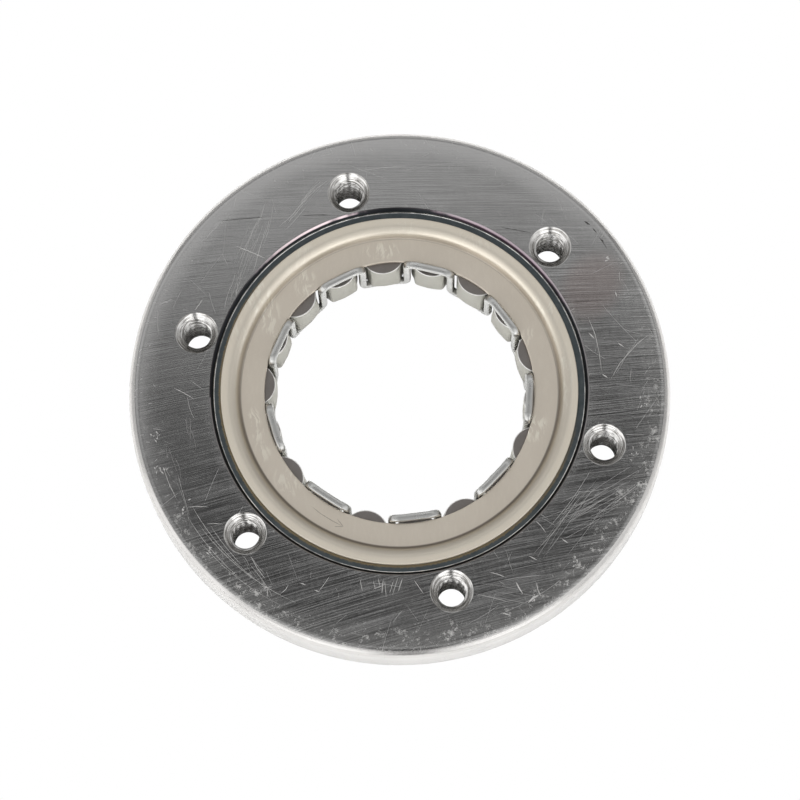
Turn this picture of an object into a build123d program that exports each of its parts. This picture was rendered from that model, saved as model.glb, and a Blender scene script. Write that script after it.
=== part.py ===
from build123d import *
import math
import os

# Sprag clutch: a bolted outer race with a full set of sprags held between two
# cages, energised by a ribbon spring and covered by a stamped side plate.
# Origin at the centre of the bottom face, +Z along the clutch axis towards the
# side plate.  The first threaded hole lies on +X.  All sizes in millimetres.

os.makedirs("parts", exist_ok=True)

# ---- outer race ----------------------------------------------------------
race_od = 98.5            # outside diameter
race_h = 12.0             # overall thickness
race_top_fillet = 1.8     # rounded upper outer edge
race_bot_ch_r = 2.6       # lower outer chamfer, radial
race_bot_ch_z = 3.0       # lower outer chamfer, axial
track_r = 31.165          # bore that the sprags run on
cbore_r = 33.85           # counterbore that takes the side plate
cbore_floor = 10.95       # height of the counterbore floor
cbore_edge_r = 34.45      # upper edge of the counterbore, after its 45 degree chamfer
bolt_pcd = 77.0
bolt_count = 6
bolt_r = 2.5              # M6 thread, core radius
bolt_csk_r = 3.85         # countersink radius at the top face

# ---- side plate (stamped sheet) ------------------------------------------
plate_t = 0.85
plate_r = 32.5            # outer radius
plate_in_r = 24.6         # inner radius of the flange
rim_top = 11.84           # top of the flat outer rim
flange_top = 10.1         # top of the flat inner flange
step_r = 31.15            # where the rim begins to curve down
step_convex = 1.9         # outer radius of the upper bend
step_concave = 0.4        # inner radius of the lower bend
step_angle = 60.0         # slope of the step

# ---- sprags --------------------------------------------------------------
sprag_n = 18
pitch = 360.0 / sprag_n
cage_phase = 12.7         # angle of the first pocket from +X
sprag_z0, sprag_z1 = 1.15, 9.2
nose_in_r = 4.15          # radius of the inner cam face
nose_in_min = 22.67       # innermost point of a free sprag
nose_in_fwd = 67.0        # the inner cam face runs this far forward, in degrees
nose_in_back = 72.0       # and this far back
nose_out_r = 4.5          # radius of the outer cam face
nose_out_max = 31.10      # outermost point
cam_offset = 0.896        # tangential offset of the two cam centres
sprag_edge = 0.18         # broken edge of the end faces

# ---- inner cage (meander) ------------------------------------------------
cage_in_a = 22.95         # inner flat distance from the axis
cage_out_a = 24.40        # outer flat distance from the axis
cage_trim_r = 24.52       # largest radius below the side plate
cage_z0, cage_z1 = 0.15, 11.4
bar_top_z = 10.35         # underside of the upper bars
bar_bot_z = 1.10          # upper side of the lower bars
pocket_w = 6.9            # clear width of a pocket
pocket_corner = 0.75      # rounding inside the pockets
bar_corner = 1.15         # rounding of the outer corners of the bars
cage_edge = 0.36          # tumbled edges

# ---- outer cage (windowed sleeve) ----------------------------------------
sleeve_in, sleeve_out = 29.95, 30.60
sleeve_z0, sleeve_z1 = 0.15, 9.93
sleeve_w = 6.5            # window width
sleeve_wz0, sleeve_wz1 = 1.05, 9.3

# ---- ribbon spring -------------------------------------------------------
spring_r, spring_t = 26.9, 0.2
spring_z0, spring_rail, spring_z1 = 0.2, 1.05, 8.7
finger_w = 2.4
finger_at = 9.1           # finger angle past its sprag


# ==== outer race ==========================================================
with BuildPart() as outer_race:
    with BuildSketch(Plane.XZ) as _s:
        with BuildLine() as _l:
            ro = race_od / 2
            Polyline(
                (ro - race_top_fillet, race_h),
                (cbore_edge_r, race_h),
                (cbore_r, race_h - (cbore_edge_r - cbore_r)),
                (cbore_r, cbore_floor + 0.2),
            )
            RadiusArc((cbore_r, cbore_floor + 0.2), (cbore_r - 0.2, cbore_floor), 0.2)
            Polyline(
                (cbore_r - 0.2, cbore_floor),
                (track_r + 0.3, cbore_floor),
                (track_r, cbore_floor - 0.3),
                (track_r, 0.5),
                (track_r + 0.5, 0),
                (ro - race_bot_ch_r, 0),
                (ro, race_bot_ch_z),
                (ro, race_h - race_top_fillet),
            )
            CenterArc((ro - race_top_fillet, race_h - race_top_fillet), race_top_fillet, 0, 90)
        make_face()
    revolve(axis=Axis.Z)
    with BuildSketch(Plane.XY) as _s:
        with PolarLocations(bolt_pcd / 2, bolt_count):
            Circle(bolt_r)
    extrude(amount=race_h, mode=Mode.SUBTRACT)
    _rims = outer_race.edges().filter_by(GeomType.CIRCLE).filter_by(lambda e: abs(e.radius - bolt_r) < 1e-3)
    chamfer(_rims.filter_by(lambda e: e.center().Z > race_h - 0.01), bolt_csk_r - bolt_r)
    _rims = outer_race.edges().filter_by(GeomType.CIRCLE).filter_by(lambda e: abs(e.radius - bolt_r) < 1e-3)
    chamfer(_rims.filter_by(lambda e: e.center().Z < 0.01), 0.6)
outer_race.part.label = "outer_race"
export_step(outer_race.part, "parts/outer_race.step")

# ==== side plate ==========================================================
_a = math.radians(step_angle)
_cv = (step_r, rim_top - step_convex)                       # centre of the upper bend
_top_end = (_cv[0] - step_convex * math.sin(_a), _cv[1] + step_convex * math.cos(_a))
_base_x = _top_end[0] - (_top_end[1] - flange_top) / math.tan(_a)
_cc = (_base_x - step_concave * math.tan(_a / 2), flange_top + step_concave)  # lower bend
with BuildPart() as side_plate:
    with BuildSketch(Plane.XZ) as _s:
        with BuildLine() as _l:
            _in = step_convex - plate_t
            _out = step_concave + plate_t
            Line((plate_in_r, flange_top), (_cc[0], flange_top))
            CenterArc(_cc, step_concave, -90, step_angle)
            Line(
                (_cc[0] + step_concave * math.sin(_a), _cc[1] - step_concave * math.cos(_a)),
                _top_end,
            )
            CenterArc(_cv, step_convex, 90 + step_angle, -step_angle)
            Polyline(
                (step_r, rim_top),
                (plate_r, rim_top),
                (plate_r, rim_top - plate_t),
                (step_r, rim_top - plate_t),
            )
            CenterArc(_cv, _in, 90, step_angle)
            Line(
                (_cv[0] - _in * math.sin(_a), _cv[1] + _in * math.cos(_a)),
                (_cc[0] + _out * math.sin(_a), _cc[1] - _out * math.cos(_a)),
            )
            CenterArc(_cc, _out, -90 + step_angle, -step_angle)
            Polyline((_cc[0], flange_top - plate_t), (plate_in_r, flange_top - plate_t), (plate_in_r, flange_top))
        make_face()
    revolve(axis=Axis.Z)
    _e = side_plate.edges().filter_by(GeomType.CIRCLE)
    fillet(_e.filter_by(lambda e: abs(e.radius - plate_in_r) < 1e-3 or abs(e.radius - plate_r) < 1e-3), 0.2)
side_plate.part.label = "side_plate"
export_step(side_plate.part, "parts/side_plate.step")

# ==== inner cage: a bent meander band =====================================
# Upper bars close every other pocket from above, lower bars close the
# pockets between them from below.
with BuildPart() as inner_cage:
    with BuildSketch(Plane.XY.offset(cage_z0)) as _s:
        RegularPolygon(cage_out_a, sprag_n, major_radius=False, rotation=cage_phase - pitch / 2)
        fillet(_s.vertices(), 3.0)
        with BuildSketch(mode=Mode.PRIVATE) as _hole:
            RegularPolygon(cage_in_a, sprag_n, major_radius=False, rotation=cage_phase - pitch / 2)
            fillet(_hole.vertices(), 1.6)
        add(_hole.sketch, mode=Mode.SUBTRACT)
    extrude(amount=cage_z1 - cage_z0)
    for i in range(sprag_n):
        ang = cage_phase + i * pitch
        radial = Vector(math.cos(math.radians(ang)), math.sin(math.radians(ang)), 0)
        tang = Vector(-radial.Y, radial.X, 0)
        # plane through the axis: local x tangential, local y up, facing outwards
        pl = Plane(origin=radial * 20.0, x_dir=tang, z_dir=radial)
        hw, rc, rb = pocket_w / 2, pocket_corner, bar_corner
        with BuildSketch(pl) as _w:
            with BuildLine() as _l:
                if i % 2 == 0:      # open at the top
                    zc, ze, s = bar_bot_z, cage_z1, 1
                else:               # open at the bottom
                    zc, ze, s = bar_top_z, cage_z0, -1
                Line((-hw - rb, ze + s), (hw + rb, ze + s))
                Line((hw + rb, ze + s), (hw + rb, ze))
                Line((-hw - rb, ze + s), (-hw - rb, ze))
                ThreePointArc((hw + rb, ze), (hw + rb * (1 - math.cos(math.pi / 4)), ze - s * rb * (1 - math.sin(math.pi / 4))), (hw, ze - s * rb))
                ThreePointArc((-hw - rb, ze), (-hw - rb * (1 - math.cos(math.pi / 4)), ze - s * rb * (1 - math.sin(math.pi / 4))), (-hw, ze - s * rb))
                Line((hw, ze - s * rb), (hw, zc + s * rc))
                Line((-hw, ze - s * rb), (-hw, zc + s * rc))
                q = rc * (1 - math.cos(math.pi / 4))
                ThreePointArc((hw, zc + s * rc), (hw - q, zc + s * q), (hw - rc, zc))
                ThreePointArc((-hw, zc + s * rc), (-hw + q, zc + s * q), (-hw + rc, zc))
                Line((hw - rc, zc), (-hw + rc, zc))
            make_face()
        extrude(amount=8.0, mode=Mode.SUBTRACT)
    fillet(inner_cage.edges(), cage_edge)
    # below the side plate the legs stay inside its inner edge
    with BuildSketch(Plane.XY) as _s:
        Circle(cage_out_a + 3)
        Circle(cage_trim_r, mode=Mode.SUBTRACT)
    extrude(amount=flange_top + 0.1, mode=Mode.SUBTRACT)
inner_cage.part.label = "inner_cage"
export_step(inner_cage.part, "parts/inner_cage.step")

# ==== outer cage: windowed sleeve =========================================
_co_r = nose_out_max - nose_out_r                      # distance of the outer cam centre
_co_ang = -math.degrees(math.asin(cam_offset / _co_r))  # it trails the pocket centre
with BuildPart() as outer_cage:
    with BuildSketch(Plane.XY.offset(sleeve_z0)) as _s:
        Circle(sleeve_out)
        Circle(sleeve_in, mode=Mode.SUBTRACT)
    extrude(amount=sleeve_z1 - sleeve_z0)
    for i in range(sprag_n):
        ang = cage_phase + _co_ang + i * pitch
        radial = Vector(math.cos(math.radians(ang)), math.sin(math.radians(ang)), 0)
        pl = Plane(origin=radial * 28.0 + Vector(0, 0, (sleeve_wz0 + sleeve_wz1) / 2), x_dir=Vector(-radial.Y, radial.X, 0), z_dir=radial)
        with BuildSketch(pl) as _w:
            RectangleRounded(sleeve_w, sleeve_wz1 - sleeve_wz0, 0.5)
        extrude(amount=4.0, mode=Mode.SUBTRACT)
outer_cage.part.label = "outer_cage"
export_step(outer_cage.part, "parts/outer_cage.step")

# ==== ribbon spring: thin ring with a finger beside each sprag ============
with BuildPart() as ribbon_spring:
    with BuildSketch(Plane.XY.offset(spring_z0)) as _s:
        Circle(spring_r + spring_t)
        Circle(spring_r, mode=Mode.SUBTRACT)
    extrude(amount=spring_z1 - spring_z0)
    for i in range(sprag_n):
        # the gap between two fingers
        ang = cage_phase + finger_at + (i + 0.5) * pitch
        radial = Vector(math.cos(math.radians(ang)), math.sin(math.radians(ang)), 0)
        chord = 2 * spring_r * math.sin(math.radians(pitch / 2)) - finger_w
        pl = Plane(origin=radial * 24.0 + Vector(0, 0, spring_rail), x_dir=Vector(-radial.Y, radial.X, 0), z_dir=radial)
        with BuildSketch(pl) as _w:
            with BuildLine() as _l:
                Polyline((-chord / 2, 12), (-chord / 2, 0.8), (-chord / 2 + 0.8, 0), (chord / 2 - 0.8, 0), (chord / 2, 0.8), (chord / 2, 12), close=True)
            make_face()
        extrude(amount=6.0, mode=Mode.SUBTRACT)
ribbon_spring.part.label = "ribbon_spring"
export_step(ribbon_spring.part, "parts/ribbon_spring.step")

# ==== sprags ==============================================================
_ci = (nose_in_min + nose_in_r, 0.0)
_co = (_co_r * math.cos(math.radians(_co_ang)), _co_r * math.sin(math.radians(_co_ang)))


def _pt(c, r, deg):
    return (c[0] + r * math.cos(math.radians(deg)), c[1] + r * math.sin(math.radians(deg)))


p1, p4 = _pt(_ci, nose_in_r, 180 - nose_in_fwd), _pt(_ci, nose_in_r, 180 + nose_in_back)
p2, p3 = _pt(_co, nose_out_r, _co_ang + 42), _pt(_co, nose_out_r, _co_ang - 42)

# each sprag: two eccentric cam faces joined by a waist
for i in range(sprag_n):
    name = f"sprag_{i + 1:02d}"
    with BuildPart() as sprag:
        with BuildSketch(Plane.XY.offset(sprag_z0).rotated((0, 0, cage_phase + i * pitch))) as _s:
            with BuildLine() as _l:
                ThreePointArc(p1, (nose_in_min, 0), p4)
                ThreePointArc(p4, (27.3, -2.65), p3)
                ThreePointArc(p3, _pt(_co, nose_out_r, _co_ang), p2)
                ThreePointArc(p2, (27.3, 1.6), p1)
            make_face()
            fillet(_s.vertices(), 0.55)
        extrude(amount=sprag_z1 - sprag_z0)
        chamfer(sprag.faces().filter_by(Axis.Z).edges(), sprag_edge)
    sprag.part.label = name
    export_step(sprag.part, f"parts/{name}.step")
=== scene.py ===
import bpy, bmesh, math, random
import numpy as np
from mathutils import Vector, Matrix, noise as mnoise
from mathutils.geometry import delaunay_2d_cdt


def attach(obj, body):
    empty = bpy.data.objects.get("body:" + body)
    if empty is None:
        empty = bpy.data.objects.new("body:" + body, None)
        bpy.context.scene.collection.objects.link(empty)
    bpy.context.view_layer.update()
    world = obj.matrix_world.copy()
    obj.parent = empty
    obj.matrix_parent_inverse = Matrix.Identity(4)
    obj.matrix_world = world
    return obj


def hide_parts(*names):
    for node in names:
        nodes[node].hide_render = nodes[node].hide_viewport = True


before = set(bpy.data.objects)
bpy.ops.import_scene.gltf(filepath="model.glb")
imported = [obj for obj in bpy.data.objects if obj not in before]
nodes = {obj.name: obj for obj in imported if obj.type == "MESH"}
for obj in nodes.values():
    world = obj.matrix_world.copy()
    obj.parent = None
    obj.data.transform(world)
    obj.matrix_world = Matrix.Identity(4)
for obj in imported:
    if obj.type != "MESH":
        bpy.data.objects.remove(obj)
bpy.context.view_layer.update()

rnd = random.Random(7)

# The photograph's axes are turned by TURN about +Z from the part's own: VIEW
# takes a point given as (right, away from the camera) to the part's x, y.
TURN = math.radians(-41.43)
CT, ST = math.cos(TURN), math.sin(TURN)


def VIEW(x, y):
    return (x * CT - y * ST, x * ST + y * CT)


# ------------------------------------------------------------------ mesh code
class Soup:
    """Vertices in millimetres and faces with a material index."""

    def __init__(self):
        self.v, self.f, self.m = [], [], []

    def add(self, verts, faces, mat=0):
        b = len(self.v)
        self.v += [tuple(p) for p in verts]
        self.f += [tuple(b + i for i in f) for f in faces]
        self.m += [mat] * len(faces)

    def grid(self, rings, mats, closed=True):
        """rings: equal lists of points, joined in order; mats: one index per gap."""
        n = len(rings[0])
        b = len(self.v)
        for r in rings:
            self.v += [tuple(p) for p in r]
        last = n if closed else n - 1
        for k in range(len(rings) - 1):
            for i in range(last):
                j = (i + 1) % n
                self.f.append((b + k * n + i, b + k * n + j, b + (k + 1) * n + j, b + (k + 1) * n + i))
                self.m.append(mats[k] if isinstance(mats, (list, tuple)) else mats)

    def make(self, name, mats, angle=32.0, merge=1e-6, plain=()):
        me = bpy.data.meshes.new(name)
        me.from_pydata([(x * 0.001, y * 0.001, z * 0.001) for x, y, z in self.v], [], self.f)
        for m in mats:
            me.materials.append(m)
        me.polygons.foreach_set("material_index", self.m)
        bm = bmesh.new()
        bm.from_mesh(me)
        bmesh.ops.remove_doubles(bm, verts=bm.verts, dist=merge)
        bmesh.ops.dissolve_degenerate(bm, edges=bm.edges, dist=1e-8)
        bmesh.ops.recalc_face_normals(bm, faces=bm.faces)
        bm.to_mesh(me)
        bm.free()
        me.polygons.foreach_set("use_smooth", [True] * len(me.polygons))
        me.set_sharp_from_angle(angle=math.radians(angle))
        # the faces that are flat in CAD keep their own normal right up to an edge
        me.polygons.foreach_set("use_smooth", [f.material_index not in plain for f in me.polygons])
        me.update()
        ob = bpy.data.objects.new(name, me)
        bpy.context.scene.collection.objects.link(ob)
        return ob


def circle(r, n, z=0.0, cx=0.0, cy=0.0, ph=0.0):
    return [(cx + r * math.cos(ph + 2 * math.pi * i / n), cy + r * math.sin(ph + 2 * math.pi * i / n), z) for i in range(n)]


def arc(cx, cz, r, a0, a1, n):
    """Points of a profile arc, angles in degrees."""
    return [(cx + r * math.cos(math.radians(a0 + (a1 - a0) * i / n)), cz + r * math.sin(math.radians(a0 + (a1 - a0) * i / n))) for i in range(n + 1)]


def rounded(points, radii, steps=4):
    """A profile polyline with its corners rounded."""
    out = [points[0]]
    for i in range(1, len(points) - 1):
        r = radii.get(i, 0)
        p0, p1, p2 = (np.array(points[k], float) for k in (i - 1, i, i + 1))
        a, b = p0 - p1, p2 - p1
        la, lb = np.linalg.norm(a), np.linalg.norm(b)
        a, b = a / la, b / lb
        half = math.acos(max(-1, min(1, float(a @ b)))) / 2
        if r <= 0 or half > math.radians(89):
            out.append(tuple(p1))
            continue
        d = min(r / math.tan(half), 0.45 * la, 0.45 * lb)
        r = d * math.tan(half)
        c = p1 + (a + b) / np.linalg.norm(a + b) * (r / math.sin(half))
        s, e = p1 + a * d, p1 + b * d
        a0, a1 = math.atan2(*(s - c)[::-1]), math.atan2(*(e - c)[::-1])
        da = (a1 - a0 + math.pi) % (2 * math.pi) - math.pi
        out += [(c[0] + r * math.cos(a0 + da * t / steps), c[1] + r * math.sin(a0 + da * t / steps)) for t in range(steps + 1)]
    out.append(points[-1])
    return out


class Groove:
    """A scratch or scribed line: a polyline in x, y with a width and a depth."""

    def __init__(self, pts, w, d):
        self.p = [np.array(p, float) for p in pts]
        self.w, self.d = w, d

    def resampled(self, step):
        out = [self.p[0]]
        for a, b in zip(self.p, self.p[1:]):
            n = max(1, int(math.ceil(np.linalg.norm(b - a) / step)))
            out += [a + (b - a) * k / n for k in range(1, n + 1)]
        return out

    def strips(self, ok, step):
        """(centre, left, right) point lists of each stretch that ok() allows."""
        pts, run, runs = self.resampled(step), [], []
        for p in pts:
            if ok(p):
                run.append(p)
            else:
                if len(run) > 2:
                    runs.append(run)
                run = []
        if len(run) > 2:
            runs.append(run)
        for r in runs:
            c, l, q = [r[0]], [], []
            n = len(r)
            for i in range(1, n - 1):
                t = r[i + 1] - r[i - 1]
                t = t / (np.linalg.norm(t) + 1e-12)
                nrm = np.array((-t[1], t[0]))
                u = i / (n - 1)
                w = self.w * 0.5 * min(1.0, math.sin(math.pi * u) * 1.6)
                c.append(r[i])
                l.append(r[i] + nrm * w)
                q.append(r[i] - nrm * w)
            c.append(r[-1])
            yield c, l, q


def flat(soup, z, r_in, r_out, n_in, n_out, holes, grooves, mat, up=True, step=0.6, rings=()):
    """A flat ring at height z with round holes, and (groove, material) pairs cut into it."""
    V, E = [], []

    def loop(pts):
        b = len(V)
        V.extend((p[0], p[1]) for p in pts)
        E.extend((b + i, b + (i + 1) % len(pts)) for i in range(len(pts)))

    loop(circle(r_in, n_in))
    loop(circle(r_out, n_out))
    for r in rings:
        loop(circle(r, 180))
    for cx, cy, r, n in holes:
        loop(circle(r, n, 0, cx, cy))

    def ok(p):
        rr = math.hypot(*p)
        if rr < r_in + 0.15 or rr > r_out - 0.15:
            return False
        return all(math.hypot(p[0] - cx, p[1] - cy) > r + 0.15 for cx, cy, r, n in holes)

    cuts = []
    for g, gm in grooves:
        for c, l, q in g.strips(ok, step):
            b = len(V)
            V.extend(map(tuple, c))
            E.extend((b + i, b + i + 1) for i in range(len(c) - 1))
            for side in (l, q):
                s = len(V)
                V.extend(map(tuple, side))
                E.append((b, s))
                E.extend((s + i, s + i + 1) for i in range(len(side) - 1))
                E.append((s + len(side) - 1, b + len(c) - 1))
            cc = np.array(c)
            ww = np.zeros(len(c))
            for i in range(len(l)):
                ww[i + 1] = np.linalg.norm(l[i] - c[i + 1])
            cuts.append((cc, ww, g.d, g.w, gm))
    verts, edges, faces, ov, oe, of = delaunay_2d_cdt([Vector(p) for p in V], E, [], 0, 1e-7, True)
    P = np.array([(v.x, v.y) for v in verts])
    D, G = np.zeros(len(P)), np.full(len(P), mat)
    for cc, ww, d, wmax, gm in cuts:
        lo, hi = cc.min(0) - wmax, cc.max(0) + wmax
        near = np.nonzero((P[:, 0] > lo[0]) & (P[:, 0] < hi[0]) & (P[:, 1] > lo[1]) & (P[:, 1] < hi[1]))[0]
        if not len(near):
            continue
        q = P[near]
        best = np.zeros(len(near))
        for i in range(len(cc) - 1):
            a, b = cc[i], cc[i + 1]
            ab = b - a
            t = np.clip(((q - a) @ ab) / (ab @ ab + 1e-18), 0, 1)
            dist = np.linalg.norm(q - (a + t[:, None] * ab), axis=1)
            w = ww[i] + (ww[i + 1] - ww[i]) * t
            best = np.maximum(best, np.where(w > 1e-6, np.clip(1 - dist / np.maximum(w, 1e-6), 0, 1) * (w / (wmax * 0.5)), 0))
        G[near] = np.where(best * d > D[near], gm, G[near])
        D[near] = np.maximum(D[near], best * d)
    tri, mats = [], []
    for f in faces:
        c = P[list(f)].mean(0)
        rr = math.hypot(*c)
        if rr < r_in * math.cos(math.pi / n_in) * 0.999999 or rr > r_out:
            continue
        if any(math.hypot(c[0] - cx, c[1] - cy) < r * math.cos(math.pi / n) for cx, cy, r, n in holes):
            continue
        tri.append(tuple(f))
        k = max(f, key=lambda i: D[i])
        mats.append(int(G[k]) if D[k] > 0.002 else mat)
    b = len(soup.v)
    s = -1.0 if up else 1.0
    soup.v += [(P[i, 0], P[i, 1], z + s * D[i]) for i in range(len(P))]
    soup.f += [tuple(b + i for i in t) for t in tri]
    soup.m += mats


# ------------------------------------------------------------------ node code
class Mat:
    """A small helper around one node material with one Principled shader."""

    def __init__(self, name):
        self.m = bpy.data.materials.new(name)
        self.m.use_nodes = True
        self.nt = self.m.node_tree
        self.b = self.nt.nodes["Principled BSDF"]
        tc = self.nt.nodes.new("ShaderNodeTexCoord")
        s = self.nt.nodes.new("ShaderNodeVectorMath")
        s.operation = "SCALE"
        s.inputs["Scale"].default_value = 1000.0
        self.nt.links.new(tc.outputs["Object"], s.inputs[0])
        self.P = s.outputs[0]          # position in millimetres
        x = self.nt.nodes.new("ShaderNodeSeparateXYZ")
        self.nt.links.new(self.P, x.inputs[0])
        self.x, self.y, self.z = x.outputs

    def _set(self, sock, v):
        if hasattr(v, "links") or isinstance(v, bpy.types.NodeSocket):
            self.nt.links.new(v, sock)
        else:
            sock.default_value = v

    def math(self, op, a, b=0.0, c=None, clamp=False):
        n = self.nt.nodes.new("ShaderNodeMath")
        n.operation = op
        n.use_clamp = clamp
        self._set(n.inputs[0], a)
        self._set(n.inputs[1], b)
        if c is not None:
            self._set(n.inputs[2], c)
        return n.outputs[0]

    def add(self, *a):
        out = a[0]
        for b in a[1:]:
            out = self.math("ADD", out, b)
        return out

    def mul(self, *a):
        out = a[0]
        for b in a[1:]:
            out = self.math("MULTIPLY", out, b)
        return out

    def xyz(self, x, y, z=0.0):
        n = self.nt.nodes.new("ShaderNodeCombineXYZ")
        for s, v in zip(n.inputs, (x, y, z)):
            self._set(s, v)
        return n.outputs[0]

    def step(self, v, lo, hi, a=0.0, b=1.0, kind="SMOOTHSTEP"):
        n = self.nt.nodes.new("ShaderNodeMapRange")
        n.interpolation_type = kind
        n.clamp = True
        self._set(n.inputs["Value"], v)
        for k, q in (("From Min", lo), ("From Max", hi), ("To Min", a), ("To Max", b)):
            self._set(n.inputs[k], q)
        return n.outputs["Result"]

    def lin(self, v, lo, hi, a=0.0, b=1.0):
        return self.step(v, lo, hi, a, b, "LINEAR")

    def noise(self, vec, scale=1.0, detail=3.0, rough=0.55, dist=0.0, dims="3D"):
        n = self.nt.nodes.new("ShaderNodeTexNoise")
        n.noise_dimensions = dims
        self._set(n.inputs["Vector"], vec)
        n.inputs["Scale"].default_value = scale
        n.inputs["Detail"].default_value = detail
        n.inputs["Roughness"].default_value = rough
        n.inputs["Distortion"].default_value = dist
        return n.outputs["Fac"]

    def mix(self, f, a, b):
        n = self.nt.nodes.new("ShaderNodeMix")
        n.data_type = "RGBA"
        self._set(n.inputs[0], f)
        for sock, v in ((n.inputs[6], a), (n.inputs[7], b)):
            if isinstance(v, (tuple, list)):
                sock.default_value = (*v, 1.0)
            else:
                self._set(sock, v)
        return n.outputs[2]

    def lerp(self, f, a, b):
        n = self.nt.nodes.new("ShaderNodeMix")
        n.data_type = "FLOAT"
        self._set(n.inputs[0], f)
        self._set(n.inputs[2], a)
        self._set(n.inputs[3], b)
        return n.outputs[0]

    def radius(self):
        return self.math("SQRT", self.add(self.mul(self.x, self.x), self.mul(self.y, self.y)))

    def angle(self):
        return self.math("ARCTAN2", self.y, self.x)

    def bump(self, height, strength, dist):
        n = self.nt.nodes.new("ShaderNodeBump")
        n.inputs["Strength"].default_value = strength
        n.inputs["Distance"].default_value = dist
        self._set(n.inputs["Height"], height)
        return n.outputs[0]

    def scratches(self, cell, half_w, half_l, seed, share=1.0, spread=1.0, heading=0.0, bend=0.0, vec=None):
        """One straight or bent hairline in each cell of a random cell pattern."""
        off = self.nt.nodes.new("ShaderNodeVectorMath")
        off.operation = "MULTIPLY_ADD"
        self._set(off.inputs[0], vec if vec is not None else self.P)
        off.inputs[1].default_value = (1 / cell,) * 3
        off.inputs[2].default_value = (seed * 3.7, seed * 1.9, 0)
        vo = self.nt.nodes.new("ShaderNodeTexVoronoi")
        vo.voronoi_dimensions = "2D"
        vo.inputs["Scale"].default_value = 1.0
        self._set(vo.inputs["Vector"], off.outputs[0])
        d = self.nt.nodes.new("ShaderNodeVectorMath")
        d.operation = "SUBTRACT"
        self._set(d.inputs[0], off.outputs[0])
        self._set(d.inputs[1], vo.outputs["Position"])
        sp = self.nt.nodes.new("ShaderNodeSeparateXYZ")
        self._set(sp.inputs[0], d.outputs[0])
        col = self.nt.nodes.new("ShaderNodeSeparateColor")
        self._set(col.inputs[0], vo.outputs["Color"])
        r, g, b = col.outputs
        a = self.lin(r, 0, 1, heading - math.pi * spread / 2, heading + math.pi * spread / 2)
        ca, sa = self.math("COSINE", a), self.math("SINE", a)
        lx, ly = sp.outputs[0], sp.outputs[1]
        u = self.add(self.mul(lx, ca), self.mul(ly, sa))
        v = self.math("SUBTRACT", self.mul(ly, ca), self.mul(lx, sa))
        if bend:
            v = self.add(v, self.mul(self.mul(u, u), self.lin(b, 0, 1, -bend, bend)))
        w = self.step(self.math("ABSOLUTE", v), 0.0, half_w / cell, 1.0, 0.0)
        length = self.mul(g, half_l / cell)
        l = self.step(self.math("DIVIDE", self.math("ABSOLUTE", u), self.math("MAXIMUM", length, 1e-3)), 0.55, 1.0, 1.0, 0.0)
        on = self.math("LESS_THAN", self.math("FRACT", self.mul(self.add(g, b), 7.31)), share)
        return self.mul(w, l, on, self.lin(b, 0, 1, 0.45, 1.0))

    def out(self, color=None, rough=None, normal=None, metallic=1.0, aniso=0.0, tangent=None, spec=None):
        i = self.b.inputs
        if isinstance(color, (tuple, list)):
            i["Base Color"].default_value = (*color, 1)
        elif color is not None:
            self._set(i["Base Color"], color)
        if rough is not None:
            self._set(i["Roughness"], rough)
        self._set(i["Metallic"], metallic)
        if normal is not None:
            self._set(i["Normal"], normal)
        if aniso:
            i["Anisotropic"].default_value = aniso
            self._set(i["Tangent"], tangent)
        if spec is not None:
            i["Specular IOR Level"].default_value = spec
        return self.m


def blob(m, x, y, cx, cy, ax, ay, lean=0.0):
    """A soft oval patch: 1 inside, 0 outside."""
    c, s_ = math.cos(math.radians(lean)), math.sin(math.radians(lean))
    dx, dy = m.add(x, -cx), m.add(y, -cy)
    u = m.mul(m.add(m.mul(dx, c), m.mul(dy, s_)), 1 / ax)
    v = m.mul(m.math("SUBTRACT", m.mul(dy, c), m.mul(dx, s_)), 1 / ay)
    return m.step(m.add(m.mul(u, u), m.mul(v, v)), 1.0, 0.15)


def view_xy(m):
    """The position turned to the photograph's axes: right and away."""
    x = m.math("SUBTRACT", m.mul(m.x, CT), m.mul(m.y, -ST))
    y = m.add(m.mul(m.x, -ST), m.mul(m.y, CT))
    return x, y


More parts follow.
